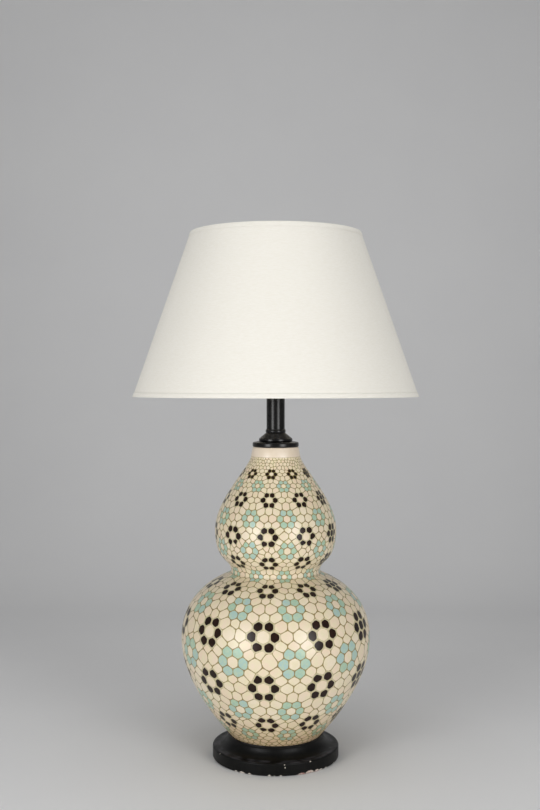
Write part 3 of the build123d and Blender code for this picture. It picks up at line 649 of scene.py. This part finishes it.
neck_loop = sorted(rims["neck"], key=turn_of)
foot_loop = sorted(rims["foot"], key=turn_of)
neck_turns = [turn_of(n) for n in neck_loop]
inside, _ = gourd_side(wall)
collar_lean = (neck_radius - mouth_radius) / mouth_rise
outline = [(mouth_radius + collar_lean * mouth_round, gourd_high.z - mouth_round)]
for step in range(1, rim_steps + 1):
    turn = math.pi / 2 * step / rim_steps
    outline.append((mouth_radius - mouth_round * (1 - math.cos(turn)),
                    gourd_high.z - mouth_round * (1 - math.sin(turn))))
outline.append((mouth_radius - wall, gourd_high.z))
collar_count = len(outline)
outline += [tuple(p) for p in inside[::-1][::inside_every]]
outline += [(hole_radius, inside[0][1]), (hole_radius, gourd_low.z), (foot_radius, gourd_low.z)]

lower = [(n, (t / pitch, map_top)) for n, t in zip(neck_loop, neck_turns)]
plain_rise = map_top / pattern_share * (1 - pattern_share) / (len(outline) + 1)
for ring_number, (radius, height) in enumerate(outline):
    upper = []
    for turn in neck_turns:
        skin_points.append((radius * math.sin(turn), -radius * math.cos(turn), height))
        upper.append((len(skin_points) - 1, (turn / pitch, map_top + plain_rise * (ring_number + 1))))
    plain = "collar" if ring_number < collar_count else "clay"
    for i in range(len(lower)):
        j = (i + 1) % len(lower)
        skin_faces.append(((lower[i], lower[j], upper[j], upper[i]), plain, 0.5))
    lower = upper
foot_up = map_top + plain_rise * (len(outline) + 1)
foot_turns = [turn_of(n) for n in foot_loop]
foot_ring = [(n, (t / pitch, foot_up)) for n, t in zip(foot_loop, foot_turns)]
for face, _ in stitch(lower, foot_ring, growing(neck_turns), growing(foot_turns)):
    skin_faces.append((face, "clay", 0.5))

# %% Make the pot's mesh
gourd = new_piece("gourd_skin", skin_points, [[n for n, _ in face] for face, _, _ in skin_faces])
mesh = gourd.data
tints = mesh.attributes.new("tint", "FLOAT", "FACE")
tints.data.foreach_set("value", [tint for _, _, tint in skin_faces])
mesh.polygons.foreach_set("material_index", [paints.index(paint) for _, paint, _ in skin_faces])

spots = np.array([spot for face, _, _ in skin_faces for _, spot in face])
count_of = np.array([len(face) for face, _, _ in skin_faces])
starts = np.concatenate([[0], np.cumsum(count_of)[:-1]])
first_x = np.repeat(spots[starts, 0], count_of)
spots[:, 0] -= cells_round * np.round((spots[:, 0] - first_x) / cells_round)
low_spot, high_spot = spots.min(0), spots.max(0)
spots = (spots - low_spot) / (high_spot - low_spot)
mesh.uv_layers.new(name="OFBake").uv.foreach_set("vector", spots.astype(np.float32).ravel())

turned = np.empty(len(mesh.vertices) * 3, np.float32)
mesh.vertex_normals.foreach_get("vector", turned)
turned = turned.reshape(-1, 3)
turned[:len(skin_normals)] = skin_normals
mesh.normals_split_custom_set_from_vertices(turned.tolist())
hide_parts("gourd_body")
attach(gourd, "lamp_base")

solid = np.array([v.co for v in nodes["gourd_body"].data.vertices])
solid_wide = 2000 * float(np.hypot(solid[:, 0], solid[:, 1]).max())
skin_wide = 2000 * max(math.hypot(*p[:2]) for p in skin_points)
print("gourd", len(mesh.polygons), "faces; widest", round(solid_wide, 1), "mm solid,",
      round(skin_wide, 1), "mm skin")

# %% [markdown]
# ## Glazes
# All paints lie under one clear glaze, so they share its gloss, and only their colour differs. Cream
# wanders from cell to cell between a yellow and a pink cast. Aqua was brushed on thin and lets the
# cream through in places. Black is a very dark brown. Each cell's own tint number picks its cast.
# Toward the foot every paint is darkened with tan: painted shade, and a painted reflection of the black
# base.

# %% Paints under the glaze
glaze = dict(Roughness=0.3, Specular_IOR_Level=0.4, Coat_Weight=0.15, Coat_Roughness=0.24)
black_glaze = dict(Specular_IOR_Level=0.22, Coat_Weight=0.1)
casts = {
    "cream": ("ecdfc6", "e8d3b9", "e6dab8"), "black": ("20100a", "2b160d", "180b05"),
    "aqua": ("a3c3ab", "a8c4c2", "bacbae"), "line": ("94814e", "877345", "a1955a"),
    "halo": ("c8bd98", "d3c8a6", "b9ac82"), "collar": ("ebddcb", "e9d9c6", "e6d6c0"),
    "clay": ("c9b49a", "bda58a", "d2bfa6"),
}
wander_size = {"cream": 9 * mm, "black": 4 * mm, "aqua": 3.5 * mm, "line": 6 * mm, "halo": 3 * mm,
               "collar": 15 * mm, "clay": 5 * mm}
glaze_wave, glaze_wave_depth = 7 * mm, 0.02 * mm
shade_tan_high, shade_tan_low = 85 * mm, 30 * mm     # heights between which the painted shade's tan comes in
shade_tan_most, painted_shade_tan = 0.45, light_of("e0c08a")

for paint in paints:
    first, second, third = (light_of(c) for c in casts[paint])
    gloss = glaze | black_glaze if paint == "black" else glaze
    glazed, tree, shader = finish_named("glaze_" + paint, **gloss)
    where = place(tree)
    tint = add(tree, "Attribute", attribute_name="tint").outputs["Fac"]
    wander = speckle(tree, where, wander_size[paint])
    colour = between(tree, tint, first, second)
    colour = between(tree, ramp(tree, wander, 0.42, 0.68), colour, third)
    height = add(tree, "SeparateXYZ", {"Vector": where}).outputs["Z"]
    # painted shade: every paint darkens to tan toward the foot, for shade and the black base's reflection
    foot_shade_share = ramp(tree, height, shade_tan_high, shade_tan_low, 0.0, shade_tan_most)
    foot_shaded = add(tree, "Mix", {0: foot_shade_share, 6: colour, 7: painted_shade_tan}, data_type="RGBA", blend_type="MULTIPLY")
    wire(tree, shader, Base_Color=foot_shaded.outputs[2],
         Normal=relief(tree, speckle(tree, where, glaze_wave, 1.0), glaze_wave_depth))
    mesh.materials.append(glazed)
print(len(paints), "glazes")

# %% [markdown]
# ## The shade's cloth
# The shade is a cone of smooth ivory cloth on a stiff lining, with a tape folded over each edge. A
# flat sector of cloth rolls up into a cone without a crease, so each ply is made the same way: two
# rings of points, joined by a surface with its own thickness. The threads run round the cone and up
# it, so the weave is drawn in those two directions, measured on the cloth in metres.

# %% Cloth on a cone
shade_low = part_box("bottom_trim")[0].z
shade_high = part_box("top_trim")[1].z
bottom_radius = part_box("bottom_trim")[1].x
top_radius = 114.3 * mm
around_steps = 240
up_steps = 24
lean = (bottom_radius - top_radius) / (shade_high - shade_low)
slant = math.hypot(bottom_radius - top_radius, shade_high - shade_low)
level = slant / (shade_high - shade_low)      # how much thicker a wall measures when cut level


def cone_radius(height, inset=0.0):
    """The shade's radius at a height, moved in from its outside by an inset across the wall."""
    return bottom_radius - lean * (height - shade_low) - inset * level


def turned_cloth(name, outline_at):
    """A closed ring of cloth whose cut, a list of radius and height, may change round the cone."""
    points, faces, spots = [], [], []
    column_width = math.pi * (bottom_radius + top_radius) / around_steps
    for column in range(around_steps):
        turn = 2 * math.pi * column / around_steps
        cut = outline_at(turn)
        points += [(r * math.sin(turn), -r * math.cos(turn), h) for r, h in cut]
    count = len(cut)
    for column in range(around_steps):
        for i in range(count):
            j = (i + 1) % count
            corners = ((column, i), (column + 1, i), (column + 1, j), (column, j))
            faces.append([c % around_steps * count + k for c, k in corners])
            spots += [(c * column_width, cut[k][1] * level) for c, k in corners]
    made = new_piece(name, points, faces)
    made.data.set_sharp_from_angle(angle=math.radians(60))
    cloth = made.data.uv_layers.new(name="cloth")
    cloth.uv.foreach_set("vector", np.array(spots, np.float32).ravel())
    return made


def ply(inset, thickness, low, high, ripple=0.0):
    """The cut of one ply: outside up, inside down, edges rounded, with a faint ripple round it."""
    edge = 0.3 * mm
    between_edges = [low + (high - low) * k / up_steps for k in range(1, up_steps)]
    heights = [low + edge, *between_edges, high - edge]

    def outline_at(turn):
        wave = math.sin(5 * turn + 0.7) + 0.6 * math.sin(9 * turn + 2.1) + 0.4 * math.sin(17 * turn)
        deep = inset + ripple * (1 - wave / 2)
        cut = [(cone_radius(low, deep + edge), low)]
        cut += [(cone_radius(h, deep), h) for h in heights]
        cut.append((cone_radius(high, deep + edge), high))
        cut += [(cone_radius(h, deep + thickness), h) for h in [high, *heights[::-1], low]]
        return cut
    return outline_at


def woven(name, colour, low_colour, thread, depth, **sockets):
    """Plain weave: threads up and round, one over the other, with slubs and a soft sheen."""
    cloth, tree, shader = finish_named(name, Sheen_Roughness=0.5, Specular_IOR_Level=0.25, **sockets)
    spread = add(tree, "SeparateXYZ", {"Vector": add(tree, "UVMap", uv_map="cloth").outputs["UV"]})
    waves = []
    for axis in ("X", "Y"):
        along = arithmetic(tree, "MULTIPLY", spread.outputs[axis], math.pi / thread)
        waves.append(arithmetic(tree, "ABSOLUTE", arithmetic(tree, "SINE", along)))
    weave = arithmetic(tree, "MAXIMUM", *waves)
    slubs = speckle(tree, place(tree, (1, 1, 6)), 6 * mm, 4.0)
    tone = arithmetic(tree, "MULTIPLY_ADD", slubs, 0.75, arithmetic(tree, "MULTIPLY", weave, 0.25))
    wire(tree, shader, Base_Color=between(tree, ramp(tree, tone, 0.35, 0.8), low_colour, colour),
         Normal=relief(tree, weave, depth))
    return cloth


# %% Cover and lining
trim_thick = 0.4 * mm
ply_gap = 0.05 * mm
cover_inset = trim_thick + ply_gap
cover_thick = 1.0 * mm
lining_inset = cover_inset + cover_thick + ply_gap
lining_thick = 0.8 * mm
cover_low, cover_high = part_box("shade_cover")
ivory = woven("ivory_cloth", light_of("f0ede5"), light_of("e9e5da"), 0.45 * mm, 0.02 * mm,
              Roughness=0.85, Sheen_Weight=0.12)
lining_cloth = woven("lining_cloth", light_of("f6f3ea"), light_of("efebe0"), 0.8 * mm, 0.015 * mm,
                     Roughness=0.6, Sheen_Weight=0.05)


def shade_ply(name, node, finish, cut):
    """One ply of the shade, in place of its solid."""
    made = turned_cloth(name, cut)
    made.data.materials.append(finish)
    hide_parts(node)
    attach(made, "shade")


shade_ply("shade_cloth", "shade_cover", ivory,
          ply(cover_inset, cover_thick, cover_low.z, cover_high.z, ripple=0.1 * mm))
shade_ply("lining_ply", "shade_lining", lining_cloth,
          ply(lining_inset, lining_thick, cover_low.z, cover_high.z))

# %% [markdown]
# ## Tape round the edges
# A strip of the same cloth is folded over each edge and glued, six millimetres deep outside and a
# little less inside. Its cut is a narrow U that follows the wall. The fold bulges round the wire
# ring, and the tape's lower hem is not quite even, which is what shows that it was laid by hand.

# %% Edge tapes
tape_outside = 6.0 * mm
tape_inside = 4.5 * mm
ring_wire = 1.6 * mm
tape_wander = 0.12 * mm
hem_slope = 1.4 * mm            # the hem is pressed flat over this length
tape_inner = lining_inset + lining_thick + 2 * ply_gap + 2 * ring_wire


def tape_cut(edge, inward):
    """The tape's cut, a U over an edge; inward is +1 at the lower edge and -1 at the upper."""
    def outline_at(turn):
        hem = tape_outside + tape_wander * (math.sin(7 * turn + 1.3) + 0.5 * math.sin(19 * turn))
        fold = edge + inward * trim_thick
        soft = 0.45 * trim_thick
        cut = [(trim_thick - 0.04 * mm, edge + inward * hem), (0.0, edge + inward * (hem - hem_slope)),
               (0.0, edge + inward * trim_thick), (soft, edge + inward * soft / 2), (trim_thick, edge),
               (tape_inner, edge), (tape_inner + trim_thick, fold),
               (tape_inner + trim_thick, edge + inward * tape_inside),
               (tape_inner, edge + inward * tape_inside), (tape_inner, fold), (trim_thick, fold),
               (trim_thick, edge + inward * hem)]
        return [(cone_radius(h, inset), h) for inset, h in (cut if inward < 0 else cut[::-1])]
    return outline_at


for name, node, edge, inward in (("upper_tape", "top_trim", shade_high, -1),
                                 ("lower_tape", "bottom_trim", shade_low, 1)):
    tape = turned_cloth(name, tape_cut(edge, inward))
    tape.data.materials.append(ivory)
    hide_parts(node)
    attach(tape, "shade")

# %% [markdown]
# ## Felt under the base
# The felt is a disc of pressed wool, two millimetres thick. Felt has no weave, so its surface is
# short fibres in all directions: two sizes of noise, and an edge cut by hand that wavers a little.

# %% Felt disc
felt_low, felt_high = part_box("felt_pad")
felt_radius = felt_high.x
felt_points_round = 180
felt_rings = 8
felt_waver = 0.25 * mm
felt_round = 0.2 * mm           # how far its cut edge is rounded


def felt_edge(turn):
    """The felt's radius at an azimuth, a little uneven and never beyond the solid's."""
    waver = math.sin(11 * turn + 0.4) + 0.7 * math.sin(23 * turn + 1.9) + 0.5 * math.sin(41 * turn)
    return felt_radius - felt_waver * (1 - waver / 2.2)


points, faces = [(0, 0, felt_high.z), (0, 0, felt_low.z)], []
for k in range(felt_points_round):
    turn = 2 * math.pi * k / felt_points_round
    cut = [(r / felt_rings, felt_high.z) for r in range(1, felt_rings)]
    cut += [(1.0, felt_high.z - felt_round), (1.0, felt_low.z + felt_round)]
    cut += [(r / felt_rings, felt_low.z) for r in range(felt_rings - 1, 0, -1)]
    for share, height in cut:
        radius = felt_edge(turn) * share
        points.append((radius * math.sin(turn), -radius * math.cos(turn), height))
ring_count = (len(points) - 2) // felt_points_round
for k in range(felt_points_round):
    a = 2 + k * ring_count
    b = 2 + (k + 1) % felt_points_round * ring_count
    faces.append((0, a, b))
    faces.append((1, b + ring_count - 1, a + ring_count - 1))
    faces += [(a + i, a + i + 1, b + i + 1, b + i) for i in range(ring_count - 1)]
felt = new_piece("felt_disc", points, faces)
wool, tree, shader = finish_named("wool_felt", Roughness=0.95, Sheen_Weight=0.4, Sheen_Roughness=0.6,
                                  Specular_IOR_Level=0.2)
where = place(tree)
fibres = arithmetic(tree, "MULTIPLY_ADD", speckle(tree, where, 0.5 * mm), 0.6,
                    arithmetic(tree, "MULTIPLY", speckle(tree, where, 4 * mm), 0.4))
felt_tone = ramp(tree, fibres, 0.35, 0.65)
wire(tree, shader, Base_Color=between(tree, felt_tone, light_of("151a17"), light_of("262c28")),
     Normal=relief(tree, fibres, 0.3 * mm))
felt.data.materials.append(wool)
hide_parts("felt_pad")
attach(felt, "lamp_base")
print("felt", round(2000 * felt_radius), "mm across")

# %% [markdown]
# ## Black paint on turned wood
# The plinth is painted black over white primer, and knocks along its lower edge have chipped it.
# A chip is told by its azimuth, its place up the band and its size; noise breaks its outline.
# Inside a chip the white primer shows, and where the knock went deeper there is reddish ground.
# The two sharp edges are a little paler in places: partly rubbed paint, partly a painted highlight on
# their rounding.

# %% Plinth
plinth_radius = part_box("base_plinth")[1].x
plinth_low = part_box("base_plinth")[0].z
plinth_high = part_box("base_plinth")[1].z
band_top = 16.5 * mm
chips = (      # azimuth in degrees; height up, half length, half height in mm; share of red
    (-37.5, 0, 2.4, 2.0, 0.0), (-31, 0, 4.4, 2.2, 0.1), (-23.5, 0, 2.2, 2.1, 0.1),
    (-5.8, 0, 2.0, 2.1, 0.0), (-1.5, 0, 0.9, 1.6, 0.0), (4.2, 0, 1.6, 2.0, 0.0),
    (23, 0, 5.5, 2.6, 0.8), (31, 0, 7.0, 3.8, 0.5), (38.5, 0, 4.0, 3.0, 0.7),
    (43, 0, 4.2, 2.1, 0.0), (50, 0, 2.8, 1.8, 0.0),
    (7.4, 14.6, 0.7, 0.7, 0.0), (7.9, 11.0, 0.6, 1.0, 0.0), (31.6, 14.8, 1.0, 0.6, 0.1),
    (64, 0, 1.8, 2.0, 0.1), (98, 0, 3.0, 2.4, 0.4), (151, 0, 1.9, 2.0, 0.1), (-77, 0, 2.2, 2.0, 0.1),
    (-122, 0, 3.6, 2.6, 0.6), (-158, 0, 1.6, 1.9, 0.1), (174, 0, 2.8, 2.3, 0.2),
    (-60, 14.6, 0.8, 0.6, 0.1),
)
paint, tree, shader = finish_named("black_paint", Specular_IOR_Level=0.15)
where = place(tree)
axes = add(tree, "SeparateXYZ", {"Vector": where}).outputs
azimuth = arithmetic(tree, "ARCTAN2", axes["X"], arithmetic(tree, "MULTIPLY", axes["Y"], -1.0))
ragged = arithmetic(tree, "MULTIPLY_ADD", speckle(tree, where, 1.6 * mm, 4.0, 0.7), 1.6, -0.8)
chipped, red = None, None
for degrees, up, half_length, half_height, redness in chips:
    off = arithmetic(tree, "SUBTRACT", azimuth, math.radians(degrees))
    aside = arithmetic(tree, "MULTIPLY", off, plinth_radius / (half_length * mm))
    lift = arithmetic(tree, "SUBTRACT", axes["Z"], plinth_low + up * mm)
    raised = arithmetic(tree, "MULTIPLY", lift, 1 / (half_height * mm))
    reach = arithmetic(tree, "ADD", arithmetic(tree, "MULTIPLY", aside, aside),
                       arithmetic(tree, "MULTIPLY", raised, raised))
    inside_chip = ramp(tree, arithmetic(tree, "ADD", reach, ragged), 1.05, 0.85)
    chipped = inside_chip if chipped is None else arithmetic(tree, "MAXIMUM", chipped, inside_chip)
    reddish = arithmetic(tree, "MULTIPLY", inside_chip, redness)
    red = reddish if red is None else arithmetic(tree, "MAXIMUM", red, reddish)
grain = speckle(tree, place(tree, (1, 1, 0.2)), 3 * mm, 4.0)
black = between(tree, ramp(tree, grain, 0.3, 0.7), light_of("070707"), light_of("0e0e0d"))
blotch = ramp(tree, speckle(tree, where, 2 * mm), 0.42, 0.52)
ground = between(tree, arithmetic(tree, "MULTIPLY", red, blotch), light_of("cfc8bd"), light_of("8a4038"))
# painted highlight and rubbed paint: a paler bluish grey in patches along the two sharp edges
rubbed_and_highlit = None
for edge in (band_top, plinth_high):
    beside = arithmetic(tree, "ABSOLUTE", arithmetic(tree, "SUBTRACT", axes["Z"], edge))
    near_edge = ramp(tree, beside, 0.7 * mm, 0.1 * mm)
    rubbed_and_highlit = near_edge if rubbed_and_highlit is None else arithmetic(tree, "MAXIMUM", rubbed_and_highlit, near_edge)
patchy = ramp(tree, speckle(tree, where, 14 * mm, 3.0), 0.4, 0.65)
rubbed_and_highlit = arithmetic(tree, "MULTIPLY", rubbed_and_highlit, patchy)
black = between(tree, rubbed_and_highlit, black, light_of("3a3a3f"))
dust = ramp(tree, speckle(tree, where, 12 * mm, 5.0, 0.6), 0.5, 0.8, 0.4, 0.52)
surface = arithmetic(tree, "SUBTRACT", arithmetic(tree, "MULTIPLY", grain, 0.15), chipped)
wire(tree, shader, Base_Color=between(tree, chipped, black, ground), Roughness=dust,
     Normal=relief(tree, surface, 0.25 * mm))
dress(paint, "base_plinth")
print(len(chips), "chips in the black paint")

# %% [markdown]
# ## Painted metal, brass and steel
# The neck parts and the finial are black gloss on metal, smooth enough to mirror the softboxes with
# a little blur. The harp, its saddle and the socket are brass, stamped and drawn, so the gloss varies
# and the colour darkens slightly where hands have been. Steel fittings are duller and bluish.


# %% Metals
def metal(name, bright, dull, low_rough, high_rough, blotch, wave=0.01 * mm, **sockets):
    """A metal or painted metal whose colour and gloss wander, with a very slight waviness."""
    made, tree, shader = finish_named(name, **sockets)
    where = place(tree)
    wander = speckle(tree, where, blotch, 4.0)
    fine = speckle(tree, where, blotch / 12, 2.0)
    tone = arithmetic(tree, "MULTIPLY_ADD", fine, 0.3, arithmetic(tree, "MULTIPLY", wander, 0.7))
    share = ramp(tree, tone, 0.35, 0.65)
    wire(tree, shader, Base_Color=between(tree, share, light_of(dull), light_of(bright)),
         Roughness=ramp(tree, tone, 0.3, 0.7, low_rough, high_rough),
         Normal=relief(tree, fine, wave))
    return made


dress(metal("black_gloss", "0f0e0f", "080808", 0.22, 0.3, 20 * mm, 0.002 * mm,
            Specular_IOR_Level=0.36),
      "vase_cap", "neck_flare", "neck_bead", "neck_tube", "check_ring", "finial_base", "finial_knob")
dress(metal("worn_brass", "dcb970", "bd9650", 0.2, 0.36, 14 * mm, 0.003 * mm, Metallic=1.0),
      "harp_saddle", "socket_cap", "set_screw", "socket_shell", "terminal_screws", "centre_contact",
      "switch_spindle", "harp_wire", "harp_stud", "sleeve_left", "sleeve_right", "spider_hub",
      "spider_arm_1", "spider_arm_2", "spider_arm_3", "shade_top_ring", "shade_bottom_ring")
dress(metal("plated_steel", "b9bcc0", "8f9398", 0.25, 0.42, 10 * mm, Metallic=1.0),
      "base_washer", "lock_nut", "threaded_pipe", "bulb_contact")
dress(metal("screw_aluminium", "d3d5d8", "b4b7bb", 0.3, 0.45, 8 * mm, Metallic=1.0),
      "screw_shell", "bulb_screw_base")

# %% [markdown]
# ## Plastic, board and glass
# The socket's core and the cord's bushing are moulded black plastic, the turn knob is brown, and the
# socket is lined with grey fibre board. The bulb is a soft white: the glass is coated inside with a
# fine powder, which shows as a milky white that is never quite even, under the gloss of clear glass.


# %% Plastic, board and glass
def moulded(name, colour, deep, roughness, size, depth, **sockets):
    """A moulded or pressed material with a fine, even texture."""
    made, tree, shader = finish_named(name, Roughness=roughness, **sockets)
    where = place(tree)
    grain = speckle(tree, where, size, 3.0)
    share = ramp(tree, grain, 0.35, 0.65)
    wire(tree, shader, Base_Color=between(tree, share, light_of(deep), light_of(colour)),
         Normal=relief(tree, grain, depth))
    return made


dress(moulded("black_plastic", "1b1a1a", "121112", 0.42, 0.6 * mm, 0.03 * mm),
      "socket_core", "cord_bushing")
dress(moulded("brown_knob", "2c1d14", "1f140e", 0.3, 1.2 * mm, 0.02 * mm, Coat_Weight=0.2),
      "turn_knob")
dress(moulded("fibre_board", "8e8a80", "736f67", 0.9, 0.8 * mm, 0.1 * mm), "socket_liner")
dress(moulded("bulb_insulation", "161518", "0c0b0e", 0.15, 2 * mm, 0.01 * mm), "bulb_insulator")
dress(moulded("soft_white_glass", "f6f5f2", "eeece8", 0.24, 5 * mm, 0.002 * mm, Coat_Weight=0.3),
      "bulb_glass")

# %% Sizes, and the end
bpy.context.view_layer.update()
new_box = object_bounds()
grown = [[round((b - a) / mm, 2) for a, b in zip(p, q)] for p, q in zip(cad_box, new_box)]
print("the box grew by", grown, "mm")
